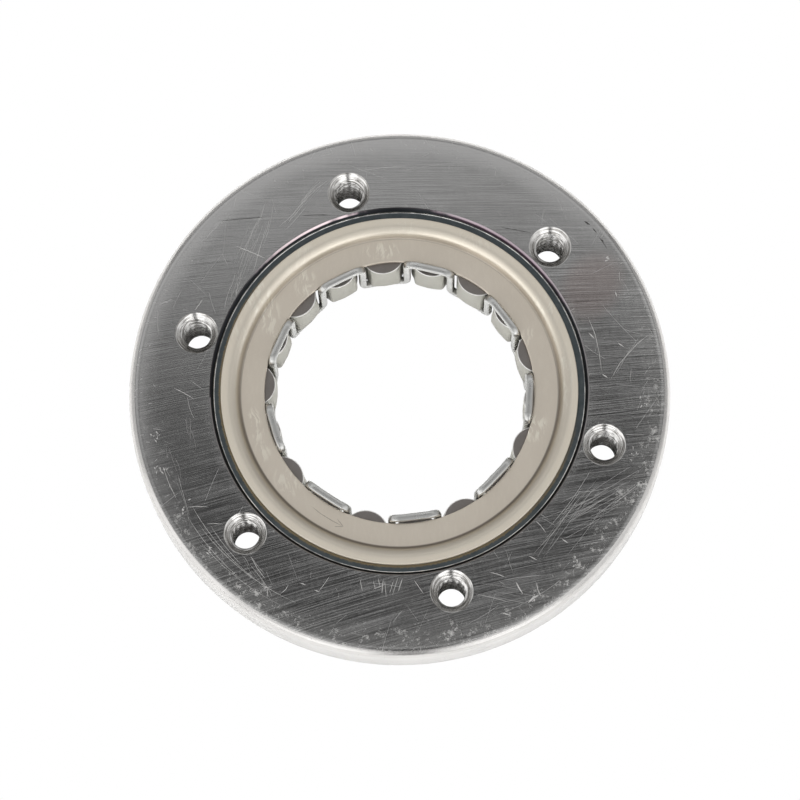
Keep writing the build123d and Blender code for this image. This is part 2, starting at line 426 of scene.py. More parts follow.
def ground_face(name, seed=0.0, tone=1.0):
    """Surface-ground steel: long slightly curved grinding lines, hairlines and nicks."""
    m = Mat(name)
    x, y = view_xy(m)
    # the lay: v is constant along a grinding line
    v = m.add(y, m.mul(x, -0.0935), m.mul(m.mul(x, x), 0.0007), m.mul(m.mul(x, y), 0.0034))
    slope = m.add(0.0935, m.mul(x, -0.0014), m.mul(y, -0.0034))
    fine = m.noise(m.xyz(m.mul(x, 0.075), m.mul(v, 8.6), seed), 1.0, 2.0, 0.6)
    mid = m.noise(m.xyz(m.mul(x, 0.05), m.mul(v, 4.3), seed + 5), 1.0, 2.0, 0.55)
    broad = m.noise(m.xyz(m.mul(x, 0.035), m.mul(v, 0.45), seed + 9), 1.0, 2.0, 0.5)
    cross = m.noise(m.xyz(m.mul(m.add(x, m.mul(y, 0.12)), 2.6), m.mul(y, 0.10), seed + 2), 1.0, 2.0, 0.55)
    grit = m.noise(m.xyz(m.mul(x, 1.3), m.mul(v, 12.0), seed + 12), 1.0, 2.0, 0.6)
    cloud = m.noise(m.xyz(x, y, seed + 4), 0.09, 3.0, 0.55)
    r = m.radius()
    rim = m.step(m.add(r, m.mul(m.math("SUBTRACT", cloud, 0.5), 9.0)), 42.6, 46.8)
    bore = m.step(r, 36.2, 34.6)
    fleck = m.step(m.noise(m.P, 0.55, 7.0, 0.84), 0.545, 0.63)
    s1 = m.scratches(17.0, 0.060, 8.0, seed + 1, 0.75, 1.0, 0.3, 0.25)
    s2 = m.scratches(7.0, 0.050, 3.2, seed + 2, 0.6, 1.0, 1.1, 0.4)
    s3 = m.scratches(4.1, 0.044, 1.9, seed + 3, 0.55)
    s4 = m.scratches(1.7, 0.055, 0.45, seed + 5, 0.35)
    s5 = m.scratches(9.3, 0.050, 4.2, seed + 7, 0.7, 0.35, 0.9, 0.3)
    sc = m.math("MAXIMUM", m.mul(s1, 0.6), m.mul(s2, 0.65))
    sc = m.math("MAXIMUM", sc, m.mul(m.math("MAXIMUM", s3, s4), m.add(0.22, m.mul(rim, 0.78))))
    sc = m.math("MAXIMUM", sc, m.mul(s5, 0.6))
    side = m.step(m.math("SUBTRACT", m.mul(x, 0.25), y), -14.0, 34.0, 0.12, 1.25)
    worn = m.math("MAXIMUM", m.mul(fleck, m.add(m.mul(m.mul(rim, side), 0.85), m.mul(bore, 0.25))), sc)
    # signed strength of the lay at this spot: painted light, the lay's contrast is painted stronger towards the near
    # side where the light shows it up
    near = m.math("SUBTRACT", m.mul(x, 0.55), y)
    cut = m.step(near, -24.0, 26.0, 0.26, 1.25)
    lay = m.add(m.mul(m.math("SUBTRACT", fine, 0.5), 4.6), m.mul(m.math("SUBTRACT", mid, 0.5), 3.4), m.mul(m.math("SUBTRACT", broad, 0.5), 0.7), m.mul(m.math("SUBTRACT", grit, 0.5), 1.6))
    lay = m.mul(m.add(lay, m.mul(m.math("SUBTRACT", cross, 0.5), 0.6)), cut)
    t = m.math("ADD", m.mul(lay, 0.5), 0.5, clamp=True)
    lo, hi = 0.17 * tone, 0.60 * tone
    col = m.mix(t, (lo, lo * 0.995, lo * 0.985), (hi, hi * 0.995, hi * 0.985))
    col = m.mix(m.math("MULTIPLY", m.math("SUBTRACT", cloud, 0.40), 1.0, clamp=True), col, (0.30, 0.295, 0.29))
    # painted light: the face near the rim is lightened on the near side
    near_rim_painted_light = m.mul(m.step(r, 42.5, 46.0), m.step(near, -10.0, 20.0), m.add(0.35, cloud))
    col = m.mix(m.mul(near_rim_painted_light, 0.30), col, (0.50, 0.495, 0.48))
    # painted highlight: the face brightens towards its rounded edge on the far side
    far_rim_painted_highlight = m.mul(m.step(r, 43.0, 47.6), m.step(near, 6.0, -24.0))
    col = m.mix(m.mul(far_rim_painted_highlight, 0.75), col, (0.47, 0.465, 0.46))
    warm = blob(m, x, y, 36.0, 17.5, 8.5, 6.5, 55)
    col = m.mix(m.mul(warm, 0.42), col, (0.42, 0.335, 0.315))
    col = m.mix(m.mul(worn, 0.75), col, (0.80, 0.79, 0.77))
    rough = m.add(m.lin(t, 0, 1, 0.11, 0.19), m.mul(worn, 0.30), m.mul(rim, 0.04), m.mul(bore, 0.03))
    h = m.add(m.mul(fine, 0.8), m.mul(mid, 0.6), m.mul(sc, -0.9))
    nrm = m.bump(h, 0.13, 0.00008)
    tx = m.math("MULTIPLY", slope, -1.0)
    tangent = m.xyz(m.math("SUBTRACT", m.mul(tx, CT), m.mul(1.0, ST)), m.add(m.mul(tx, ST), CT), 0.0)
    return m.out(col, rough, nrm, 1.0, 0.35, tangent)


def turned(name, lo, hi, r0, r1, along="z", freq=9.0, warm=0.0, bump=0.12, extra=None):
    """A lathe-turned face: fine rings all round, with faint patches and marks."""
    m = Mat(name)
    ang = m.angle()
    d = m.z if along == "z" else m.radius()
    ring = m.noise(m.xyz(m.mul(m.math("SINE", ang), 1.2), m.mul(m.math("COSINE", ang), 1.2), m.mul(d, freq)), 1.0, 3.0, 0.6)
    cloud = m.noise(m.P, 0.12, 3.0, 0.55)
    fleck = m.noise(m.P, 1.7, 3.0, 0.6)
    t = m.math("ADD", m.mul(ring, 0.8), m.mul(m.math("SUBTRACT", cloud, 0.5), 0.7), clamp=True)
    t = m.math("ADD", t, m.mul(m.math("SUBTRACT", fleck, 0.5), 0.25), clamp=True)
    w = (1 + warm, 1.0, 1 - warm)
    col = m.mix(t, tuple(lo * k for k in w), tuple(hi * k for k in w))
    nick = m.step(m.noise(m.P, 2.6, 2.0, 0.5), 0.68, 0.78)
    col = m.mix(m.mul(nick, 0.35), col, (0.25, 0.24, 0.23))
    rough = m.add(m.lin(t, 0, 1, r0, r1), m.mul(nick, 0.12))
    nrm = m.bump(m.add(ring, m.mul(nick, -0.5)), bump, 0.00005)
    return m.out(col, rough, nrm, 1.0)


# ------------------------------------------------------------------ materials
M_FACE = ground_face("ground_steel", 0.0)
M_BACK = ground_face("ground_steel_back", 31.0, 1.02)
M_WALL = turned("turned_steel", 0.50, 0.74, 0.30, 0.20, "z", 7.0, 0.022)
M_CHAM = turned("chamfer_steel", 0.46, 0.70, 0.32, 0.22, "z", 6.0, 0.015)
M_TRACK = turned("race_track", 0.42, 0.66, 0.24, 0.15, "z", 12.0, 0.01)


def thread_steel():
    m = Mat("cut_thread_steel")
    cloud = m.noise(m.P, 0.9, 3.0, 0.6)
    fine = m.noise(m.P, 7.0, 2.0, 0.6)
    t = m.math("ADD", m.mul(cloud, 0.7), m.mul(fine, 0.4), clamp=True)
    col = m.mix(t, (0.56, 0.55, 0.54), (0.84, 0.83, 0.81))
    # painted shade: dark bands round the hole stand in for the shading between the thread's ridges
    ring = m.noise(m.xyz(m.mul(m.x, 0.25), m.mul(m.y, 0.25), m.mul(m.z, 5.5)), 1.0, 2.0, 0.6)
    col = m.mix(m.mul(m.step(ring, 0.52, 0.40), 0.75), col, (0.17, 0.16, 0.145))
    nrm = m.bump(m.add(fine, m.mul(cloud, 0.5), m.mul(ring, 1.5)), 0.20, 0.00005)
    return m.out(col, m.lin(t, 0, 1, 0.27, 0.15), nrm, 1.0)


M_THREAD = thread_steel()


def groove_steel(name, lo, hi, rough):
    m = Mat(name)
    n = m.noise(m.P, 3.0, 2.0, 0.6)
    return m.out(m.mix(n, lo, hi), m.lin(n, 0, 1, rough + 0.12, rough), None, 1.0)


M_SCR = groove_steel("bright_scratch", (0.55, 0.54, 0.53), (0.88, 0.87, 0.85), 0.42)
M_FAINT = groove_steel("faint_scratch", (0.36, 0.355, 0.35), (0.66, 0.655, 0.64), 0.30)
M_SCORE = groove_steel("dark_score", (0.05, 0.05, 0.05), (0.16, 0.155, 0.15), 0.45)


def blued():
    """The counterbore: hardened steel with a blue-black skin, and an olive-brown painted reflection of the plate next
    to the plate on the near-left side.
    """
    m = Mat("blued_counterbore")
    x, y = view_xy(m)
    r = m.radius()
    n1 = m.noise(m.P, 0.55, 4.0, 0.6)
    n2 = m.noise(m.P, 2.8, 3.0, 0.6)
    n3 = m.noise(m.P, 0.16, 2.0, 0.5)
    side = m.step(m.add(m.mul(y, -0.8), m.mul(x, -0.6), m.mul(m.math("SUBTRACT", n3, 0.5), 30.0)), -16.0, 8.0)
    col = m.mix(n1, (0.038, 0.050, 0.056), (0.135, 0.152, 0.158))
    # painted reflection: an olive-brown band next to the plate, on the near-left side, stands in for the plate
    # reflected in the floor
    plate_reflection = m.mul(m.step(m.add(r, m.mul(m.math("SUBTRACT", n2, 0.5), 0.7)), 33.05, 32.70), side)
    col = m.mix(m.mul(plate_reflection, 0.85), col, (0.27, 0.215, 0.13))
    ring = m.noise(m.xyz(m.mul(m.math("SINE", m.angle()), 1.2), m.mul(m.math("COSINE", m.angle()), 1.2), m.mul(r, 9.0)), 1.0, 3.0, 0.6)
    rough = m.add(m.lin(n1, 0, 1, 0.40, 0.26), m.mul(plate_reflection, 0.20))
    return m.out(col, rough, m.bump(m.add(ring, n2), 0.12, 0.00005), 0.95)


M_CBORE = blued()


def hairline():
    """The counterbore's corner radius: coloured near white in patches, a painted highlight along the corner."""
    m = Mat("corner_radius_painted_highlight")
    n = m.noise(m.P, 0.7, 3.0, 0.6)
    k = m.noise(m.P, 0.12, 2.0, 0.5)
    col = m.mix(m.step(m.add(m.mul(n, 0.6), m.mul(k, 0.6)), 0.42, 0.70), (0.30, 0.31, 0.32), (0.94, 0.94, 0.93))
    return m.out(col, m.lin(n, 0, 1, 0.24, 0.14), None, 1.0)


M_CORNER_HIGHLIGHT = hairline()


def tinted_edge():
    """The counterbore's chamfer: black, with a thin pink painted highlight with a purple tint on its outer edge at the
    far side, and a painted light line along its outermost edge.
    """
    m = Mat("chamfer_tint_painted_highlight")
    x, y = view_xy(m)
    r = m.radius()
    n = m.noise(m.P, 0.35, 3.0, 0.6)
    ang = m.math("ARCTAN2", y, x)
    n2 = m.mul(m.math("SUBTRACT", n, 0.5), 0.5)
    a1 = m.math("ABSOLUTE", m.add(ang, -0.92, n2))       # about 35 to 72 degrees
    a2 = m.math("ABSOLUTE", m.add(ang, -2.06, n2))       # about 102 to 132 degrees
    arc1 = m.step(a1, 0.52, 0.20)
    arc2 = m.step(a2, 0.36, 0.16)
    # painted highlight: the outermost edge is painted light grey, and left dark at about 90 and 160 degrees
    edge = m.step(m.add(r, m.mul(m.math("SUBTRACT", n, 0.5), 0.10)), 34.24, 34.36)
    thin = m.step(m.add(r, m.mul(m.math("SUBTRACT", n, 0.5), 0.12)), 34.11, 34.22)
    edge_highlight_gap = m.math("MAXIMUM", m.step(m.math("ABSOLUTE", m.add(ang, -1.57)), 0.36, 0.22), m.step(m.math("ABSOLUTE", m.add(ang, -2.80)), 0.48, 0.30))
    # painted highlight: a thin pink line with a purple tint on the outer edge at the far side
    far = m.mul(m.math("MAXIMUM", m.mul(arc1, 0.75), m.mul(arc2, 0.9)), thin)
    col = m.mix(edge, m.mix(arc1, (0.022, 0.024, 0.027), (0.040, 0.027, 0.036)), m.mix(edge_highlight_gap, (0.30, 0.285, 0.290), (0.045, 0.042, 0.045)))
    col = m.mix(far, col, m.mix(arc2, (0.40, 0.32, 0.36), (0.76, 0.63, 0.655)))
    return m.out(col, m.lin(n, 0, 1, 0.34, 0.24), None, 1.0)


M_TINT = tinted_edge()


def champagne():
    """The stamped plate: satin sheet with polished smears and fingermarks."""
    m = Mat("satin_plate")
    x, y = view_xy(m)
    r, ang = m.radius(), m.angle()
    cloud = m.noise(m.P, 0.10, 3.0, 0.55)
    fine = m.noise(m.P, 3.2, 4.0, 0.65)
    # smears drawn out across the sheet
    warp = m.noise(m.P, 0.22, 2.0, 0.5)
    sm = m.noise(m.xyz(m.mul(m.add(x, m.mul(warp, 3.0)), 1.5), m.mul(m.add(y, m.mul(x, -0.25)), 0.34), 3.0), 1.0, 3.0, 0.6)
    where = 0.06
    for cx, cy, ax, ay, lean, k in (
        (-16.4, 21.2, 2.3, 3.2, -20, 0.95), (-2.2, 26.8, 4.2, 2.0, 0, 0.75), (-23.1, 13.6, 2.0, 3.2, 20, 0.7),
        (-26.3, -5.1, 1.6, 4.0, 10, 0.85), (-25.2, -10.0, 1.6, 2.6, 20, 0.7), (-21.0, -16.0, 2.6, 3.6, 40, 0.65),
        (24.3, -8.2, 2.4, 3.2, -35, 1.0), (24.0, 9.2, 1.5, 2.4, 0, 0.6), (-24.8, 17.6, 3.6, 6.2, 25, 1.0),
        (-28.6, 11.6, 2.0, 4.0, 15, 0.7), (30.3, 1.0, 1.5, 8.0, 0, 0.8), (2.4, 30.6, 2.8, 1.3, 0, 0.8),
        (27.5, 14.3, 1.6, 3.6, 25, 0.7), (-17.5, 25.6, 4.6, 1.7, 38, 0.55), (15.0, 27.4, 4.0, 1.2, -28, 0.5),
    ):
        where = m.math("MAXIMUM", where, m.mul(blob(m, x, y, cx, cy, ax, ay, lean), k))
    smear = m.mul(m.step(sm, 0.47, 0.62), where)
    spots = m.mul(m.step(m.noise(m.P, 0.8, 3.0, 0.6), 0.60, 0.72), where)
    s1 = m.scratches(8.0, 0.03, 3.4, 11, 0.35, 1.0, 0.2, 0.3)
    s2 = m.scratches(2.6, 0.035, 0.7, 12, 0.22)
    sc = m.math("MAXIMUM", s1, s2)
    t = m.math("ADD", m.mul(cloud, 0.8), m.mul(m.math("SUBTRACT", fine, 0.5), 0.30), clamp=True)
    outer = m.step(r, 29.0, 29.9)
    col = m.mix(t, (0.700, 0.638, 0.550), (0.800, 0.734, 0.642))
    col = m.mix(outer, col, m.mix(t, (0.800, 0.737, 0.630), (0.900, 0.835, 0.722)))
    lift = m.math("MAXIMUM", smear, m.mul(spots, 0.6))
    col = m.mix(m.mul(lift, 0.85), col, (0.97, 0.92, 0.80))
    col = m.mix(m.mul(sc, 0.35), col, (0.95, 0.92, 0.86))
    # painted shade in the foot of the step, darker on the near side
    step_foot_shade = m.mul(m.step(r, 28.72, 28.96), m.step(r, 29.70, 29.15))
    near = m.step(y, 20.0, -14.0)
    col = m.mix(m.mul(step_foot_shade, m.add(0.40, m.mul(near, 0.52))), col, (0.24, 0.21, 0.18))
    # painted shade: the step's slope is darkened on the near side
    slope = m.mul(m.step(r, 29.0, 29.5), m.step(r, 31.3, 30.7))
    col = m.mix(m.mul(m.mul(slope, near), 0.42), col, (0.42, 0.38, 0.325))
    bend = m.mul(m.step(r, 29.2, 29.6), m.step(r, 31.6, 31.2))
    rough = m.add(m.lin(t, 0, 1, 0.58, 0.52), m.mul(lift, -0.14), m.mul(sc, -0.05), m.mul(bend, -0.14))
    h = m.add(m.mul(fine, 0.5), m.mul(cloud, 0.6), m.mul(lift, 0.15), m.mul(sc, -0.4))
    return m.out(col, rough, m.bump(h, 0.12, 0.00006), 1.0)


M_PLATE = champagne()


def scribe():
    m = Mat("scribed_line")
    n = m.noise(m.P, 2.0, 2.0, 0.6)
    return m.out(m.mix(n, (0.40, 0.36, 0.31), (0.56, 0.51, 0.44)), 0.5, None, 1.0)


M_SCRIBE = scribe()


def bright_cage():
    """The meander cage: tumbled bright steel with soft dents and smears."""
    m = Mat("tumbled_cage_steel")
    cloud = m.noise(m.P, 0.35, 4.0, 0.6)
    fine = m.noise(m.P, 4.5, 3.0, 0.6)
    t = m.math("ADD", m.mul(cloud, 0.9), m.mul(m.math("SUBTRACT", fine, 0.5), 0.3), clamp=True)
    col = m.mix(t, (0.50, 0.50, 0.485), (0.72, 0.72, 0.705))
    sc = m.scratches(2.4, 0.03, 0.9, 5, 0.5)
    col = m.mix(m.mul(sc, 0.5), col, (0.92, 0.92, 0.90))
    rough = m.lin(t, 0, 1, 0.36, 0.20)
    return m.out(col, rough, m.bump(m.add(cloud, m.mul(fine, 0.3)), 0.24, 0.00013), 1.0)


M_CAGE = bright_cage()


def sprag_side():
    m = Mat("sprag_cam_steel")
    grind = m.noise(m.xyz(m.mul(m.x, 0.5), m.mul(m.y, 0.5), m.mul(m.z, 6.0)), 1.0, 3.0, 0.6)
    cloud = m.noise(m.P, 0.4, 3.0, 0.6)
    speck = m.step(m.noise(m.P, 2.2, 2.0, 0.5), 0.66, 0.74)
    t = m.math("ADD", m.mul(grind, 0.6), m.mul(cloud, 0.5), clamp=True)
    col = m.mix(t, (0.40, 0.392, 0.350), (0.52, 0.510, 0.462))
    col = m.mix(m.mul(speck, 0.3), col, (0.30, 0.29, 0.27))
    return m.out(col, m.lin(t, 0, 1, 0.50, 0.40), m.bump(m.add(grind, m.mul(cloud, 0.6)), 0.10, 0.00005), 1.0)


def sprag_end():
    m = Mat("sprag_end_steel")
    cloud = m.noise(m.P, 0.5, 4.0, 0.6)
    fine = m.noise(m.P, 5.0, 3.0, 0.65)
    t = m.math("ADD", m.mul(cloud, 0.7), m.mul(m.math("SUBTRACT", fine, 0.5), 0.5), clamp=True)
    col = m.mix(t, (0.185, 0.170, 0.160), (0.275, 0.256, 0.243))
    sc = m.scratches(1.9, 0.03, 0.6, 3, 0.4)
    col = m.mix(m.mul(sc, 0.3), col, (0.5, 0.48, 0.45))
    return m.out(col, m.lin(t, 0, 1, 0.56, 0.44), m.bump(m.add(fine, cloud), 0.18, 0.00008), 0.95)


def sprag_edge():
    m = Mat("sprag_worn_edge")
    n = m.noise(m.P, 1.6, 3.0, 0.6)
    return m.out(m.mix(n, (0.62, 0.61, 0.59), (0.96, 0.95, 0.93)), m.lin(n, 0, 1, 0.40, 0.28), None, 1.0)


M_SPR, M_SPR_END, M_SPR_EDGE = sprag_side(), sprag_end(), sprag_edge()


def pressed(name, lo, hi, r0, r1):
    m = Mat(name)
    cloud = m.noise(m.P, 0.3, 4.0, 0.6)
    ring = m.noise(m.xyz(m.mul(m.math("SINE", m.angle()), 2.0), m.mul(m.math("COSINE", m.angle()), 2.0), m.mul(m.z, 5.0)), 1.0, 3.0, 0.6)
    t = m.math("ADD", m.mul(cloud, 0.6), m.mul(ring, 0.5), clamp=True)
    col = m.mix(t, lo, hi)
    return m.out(col, m.lin(t, 0, 1, r0, r1), m.bump(m.add(ring, cloud), 0.15, 0.00008), 1.0)


M_OUTER = pressed("pressed_cage_steel", (0.27, 0.26, 0.245), (0.47, 0.455, 0.43), 0.46, 0.32)
M_RIBBON = pressed("spring_steel", (0.36, 0.32, 0.26), (0.56, 0.50, 0.42), 0.36, 0.24)

# ------------------------------------------------------------------ outer race
RO, H = 49.25, 12.0
NO = 720
HOLES = [(38.5 * math.cos(math.radians(60 * i)), 38.5 * math.sin(math.radians(60 * i))) for i in range(6)]
NH = 96
TOP_EDGE, BOT_EDGE = 34.45 + 0.04, 31.665 + 0.05
FLAT_R = 47.0
CROWN_R, CROWN_DROP = 44.2, 0.085      # on one side the face falls away a little before its rounded edge


def fall(th):
    """How much of that fall there is in the direction th, seen in the viewing frame."""
    x, y = math.cos(th), math.sin(th)
    d = abs((math.degrees(math.atan2(-x * ST + y * CT, x * CT + y * ST)) - 132 + 180) % 360 - 180)
    t = max(0.0, min(1.0, (118 - d) / 62))
    return t * t * (3 - 2 * t)


def sink(x, y):
    """How far the face lies below its plane at x, y."""
    r = math.hypot(x, y)
    k = max(0.0, min(1.0, (r - CROWN_R) / (RO - 1.9 - CROWN_R)))
    return CROWN_DROP * k * k * fall(math.atan2(y, x)) if k > 0 else 0.0


def hair(n, r0, r1, seed, w=(0.05, 0.11), d=(0.012, 0.03), length=(2, 9), lean=None):
    """Random hairline scratches between two radii."""
    q, out = random.Random(seed), []
    for _ in range(n):
        rr, a = math.sqrt(q.uniform(r0 * r0, r1 * r1)), q.uniform(0, 2 * math.pi)
        h = q.uniform(0, math.pi) if lean is None else q.gauss(lean, 0.45)
        L, k = q.uniform(*length), q.uniform(-0.03, 0.03)
        c = np.array((rr * math.cos(a), rr * math.sin(a)))
        t = np.array((math.cos(h), math.sin(h)))
        s = np.array((-t[1], t[0]))
        pts = [c + t * L * u + s * k * L * (1 - 4 * u * u) for u in (-0.5, -0.3, -0.1, 0.1, 0.3, 0.5)]
        out.append(Groove(pts, q.uniform(*w), q.uniform(*d)))
    return out


# Handling marks on the upper face: points (right, away), width, depth, in mm.
MARKS = [
    ([(-28.7, 28.41), (-25.86, 27.08), (-22.84, 25.49)], 0.099, 0.035),
    ([(-35.18, 18.58), (-36.07, 17.35), (-36.97, 16.12)], 0.099, 0.035),
    ([(35.01, 11.78), (36.09, 8.51), (36.61, 5.08), (36.91, 1.11)], 0.093, 0.030),
    ([(46.48, 8.38), (43.6, 6.25), (40.29, 2.83), (38.47, -0.09)], 0.087, 0.030),
    ([(40.24, 16.47), (40.53, 15.31)], 0.200, 0.035),
    ([(34.95, 8.81), (35.95, 7.63)], 0.200, 0.035),
    ([(40.16, 6.61), (41.21, 5.8)], 0.180, 0.030),
    ([(36.9, 0.93), (37.94, 0.13)], 0.180, 0.030),
    ([(-40.89, 2.08), (-39.1, 1.05), (-37.31, -0.16)], 0.081, 0.030),
    ([(-43.27, -12.55), (-42.27, -15.74), (-40.91, -18.76)], 0.074, 0.025),
    ([(-39.15, -20.14), (-37.17, -20.14), (-35.19, -20.33)], 0.074, 0.025),
    ([(-35.83, -23.42), (-34.39, -23.4), (-32.77, -23.57)], 0.074, 0.025),
    ([(-30.02, -21.68), (-28.93, -21.36)], 0.160, 0.030),
    ([(-28.12, -29.47), (-26.94, -31.89), (-25.41, -34.15)], 0.074, 0.025),
    ([(33.25, -20.12), (30.76, -22.58), (26.87, -27.53), (22.51, -31.71)], 0.056, 0.025),
    ([(23.39, -25.71), (24.23, -26.67), (25.05, -27.99)], 0.087, 0.030),
    ([(42.44, -20.01), (35.58, -23.18), (28.74, -26.34)], 0.043, 0.020),
    ([(19.19, -36.65), (19.67, -37.76), (20.32, -38.88)], 0.200, 0.035),
    ([(22.76, -36.82), (23.03, -38.28), (23.49, -39.57)], 0.124, 0.035),
    ([(21.12, -40.55), (22.06, -39.69), (23.16, -39.19)], 0.300, 0.030),
    ([(14.47, -34.6), (15.88, -35.03), (17.28, -35.65)], 0.099, 0.030),
    ([(16.39, -42.13), (17.8, -42.56)], 0.180, 0.030),
    ([(21.78, -32.04), (23.16, -32.83)], 0.160, 0.030),
    ([(27.85, -29.22), (28.88, -30.01)], 0.160, 0.030),
    ([(-19.36, -34.99), (-18.3, -35.4)], 0.160, 0.030),
    ([(-16.91, -36.37), (-15.85, -36.79)], 0.160, 0.030),
]
SCORES = [
    ([(-31.92, 33.44), (-27.48, 33.61), (-23.05, 33.78)], 0.12, 0.030),
    ([(-16.6, 33.66), (-14.01, 33.72), (-11.25, 33.59)], 0.12, 0.030),
    ([(19.9, 29.74), (22.81, 29.01), (25.71, 28.29)], 0.12, 0.030),
    ([(35.39, 30.13), (36.45, 29.31)], 0.30, 0.040),
    ([(38.12, 26.53), (39.17, 25.71)], 0.34, 0.040),
    ([(36.9, 28.7), (37.6, 27.6)], 0.22, 0.030),
    ([(33.8, 32.5), (34.3, 31.9)], 0.25, 0.030),
    ([(37.9, 27.0), (38.6, 25.9), (39.3, 24.6)], 0.12, 0.020),
]


# Bundles of faint hairlines: from, to, half width, how many; and clusters of nicks: centre, spread, how many.
BUNDLES = [
    ((-22.5, 35.8), (-28.2, 22.5), 1.5, 20), ((-27.8, 24.0), (-29.6, 16.5), 1.8, 13), ((-12.0, 40.6), (-19.8, 32.1), 1.1, 13),
    ((43.6, -18.6), (27.0, -26.8), 3.4, 24), ((36.0, -16.0), (23.0, -31.5), 2.6, 11), ((44.5, 8.4), (38.0, -1.0), 0.9, 4),
    ((-39.6, 1.0), (-38.0, -10.0), 1.0, 5), ((-37.0, 27.5), (-28.0, 36.3), 0.5, 3), ((-42.5, -8.0), (-39.2, -21.0), 0.8, 4),
    ((26.0, 33.0), (34.0, 24.5), 1.2, 4), ((8.0, -37.0), (24.0, -41.0), 1.4, 5), ((-31.0, -27.0), (-25.0, -36.0), 1.0, 5),
    ((36.5, -8.5), (35.5, -14.0), 1.2, 4), ((-8.0, 42.0), (10.0, 43.5), 1.4, 4),
]
NICKS = [
    (-44.5, -6.5, 1.1, 6),
    (-43.2, -13.0, 1.2, 7), (-40.0, -20.5, 1.3, 6), (42.0, -14.5, 1.4, 6), (44.2, -4.5, 1.0, 4), 
    (22.2, -39.9, 0.6, 5), (39.5, 23.0, 0.9, 4), (-35.0, -28.0, 1.2, 6), (30.0, -33.5, 1.4, 6),
]


CHAINS = [      # a line of scuffs: points, spread, nicks per mm
    ([(-17.3, -41.92), (-16.12, -42.59), (-14.54, -43.27), (-13.15, -43.54), (-11.4, -44.84)], 0.55, 11),
    ([(-4.16, -42.35), (-3.66, -43.79), (-2.59, -44.98), (-0.61, -45.56), (1.36, -46.0), (3.37, -45.9)], 0.30, 12),
    ([(-18.85, -35.12), (-18.47, -35.67)], 0.20, 12), ([(-16.67, -36.17), (-15.69, -36.79)], 0.30, 14),
    ([(-8.31, -42.96), (-6.94, -43.63)], 0.35, 6), ([(-26.42, -38.84), (-25.43, -39.3)], 0.40, 6),
    ([(3.4, -45.9), (8.0, -45.6), (13.0, -44.6)], 0.50, 4), ([(-11.4, -44.6), (-6.5, -45.4), (-3.0, -45.4)], 0.60, 4),
    ([(-22.0, -40.0), (-17.3, -41.9)], 0.60, 4), ([(33.0, -31.5), (29.5, -34.6), (25.0, -37.6)], 0.70, 4),
]
STROKES = [
    [(-26.3, -35.3), (-25.2, -35.5), (-24.29, -35.4)], [(-25.3, -35.35), (-25.2, -36.4), (-25.28, -37.27)],
    [(-22.93, -36.77), (-22.0, -36.1), (-21.38, -35.13)], [(-6.25, -35.11), (-5.93, -36.97)], [(-4.47, -34.99), (-4.83, -37.63)],
    [(-4.24, -35.21), (-4.06, -38.4)], [(-2.64, -35.37), (-3.47, -37.7)], [(-1.81, -34.75), (-3.0, -38.13)],
    [(-0.83, -34.47), (-1.93, -37.44)], [(-6.44, -36.74), (-4.2, -36.03)], [(-13.95, -33.9), (-14.82, -35.11), (-16.09, -36.69)],
    [(-8.6, -34.9), (-8.3, -36.9)], [(-5.4, -34.8), (-5.1, -36.2)], [(1.0, -35.4), (2.6, -38.0)],
]


def fine_marks():
    q, out = random.Random(12), []
    for pts, spread, per in CHAINS:
        for a, b in zip(pts, pts[1:]):
            a, b = np.array(a), np.array(b)
            L = np.linalg.norm(b - a)
            for _ in range(max(2, round(L * per))):
                c = a + (b - a) * q.random() + np.array((q.gauss(0, spread * 0.6), q.gauss(0, spread * 0.6)))
                h, ln = q.uniform(0, math.pi), q.uniform(0.12, 0.55)
                t = np.array((math.cos(h), math.sin(h))) * ln / 2
                out.append((Groove([VIEW(*(c - t)), VIEW(*(c + t))], q.uniform(0.09, 0.22), 0.022), True))
    for r_, a_, b_, dr in ((43.1, 206, 232, 0.5), (43.9, 211, 243, -0.4), (44.8, 208, 229, 0.3), (45.6, 214, 240, -0.5), (42.3, 214, 227, 0.8), (45.2, 288, 309, 0.5)):
        arc_ = [math.radians(a_ + (b_ - a_) * t / 10) for t in range(11)]
        out.append((Groove([VIEW((r_ + dr * t / 10) * math.cos(h), (r_ + dr * t / 10) * math.sin(h)) for t, h in enumerate(arc_)], 0.052, 0.015), r_ < 45.1))
    for pts in STROKES:
        out.append((Groove([VIEW(*p_) for p_ in pts], q.uniform(0.07, 0.11), 0.02), True))
    for a, b, half, n in BUNDLES:
        a, b = np.array(a), np.array(b)
        d = (b - a) / np.linalg.norm(b - a)
        s = np.array((-d[1], d[0]))
        L = np.linalg.norm(b - a)
        for _ in range(n):
            u0 = q.uniform(-0.05, 0.55) * L
            u1 = u0 + q.uniform(0.3, 0.75) * L
            o0 = q.gauss(0, half * 0.55)
            o1 = o0 + q.gauss(0, half * 0.30)
            bow = q.gauss(0.12, 0.22)
            pts = [a + d * (u0 + (u1 - u0) * t) + s * (o0 + (o1 - o0) * t + bow * math.sin(3 * t)) for t in (0, 0.2, 0.4, 0.6, 0.8, 1)]
            out.append((Groove([VIEW(*p) for p in pts], q.uniform(0.024, 0.052), 0.009), q.random() < (0.5 if a[0] < 0 < a[1] else 0.18)))
    for cx, cy, spread, n in NICKS:
        for _ in range(n):
            c = np.array((q.gauss(cx, spread * 0.5), q.gauss(cy, spread * 0.5)))
            h, L = q.uniform(0, math.pi), q.uniform(0.25, 0.9)
            t = np.array((math.cos(h), math.sin(h))) * L / 2
            k = np.array((-t[1], t[0])) * q.uniform(-0.5, 0.5)
            out.append((Groove([VIEW(*(c - t)), VIEW(*(c + k * 0.5)), VIEW(*(c + t))], q.uniform(0.11, 0.27), 0.025), True))
    return out


def marks(rows):
    return [Groove([VIEW(*p) for p in pts], w, d) for pts, w, d in rows]


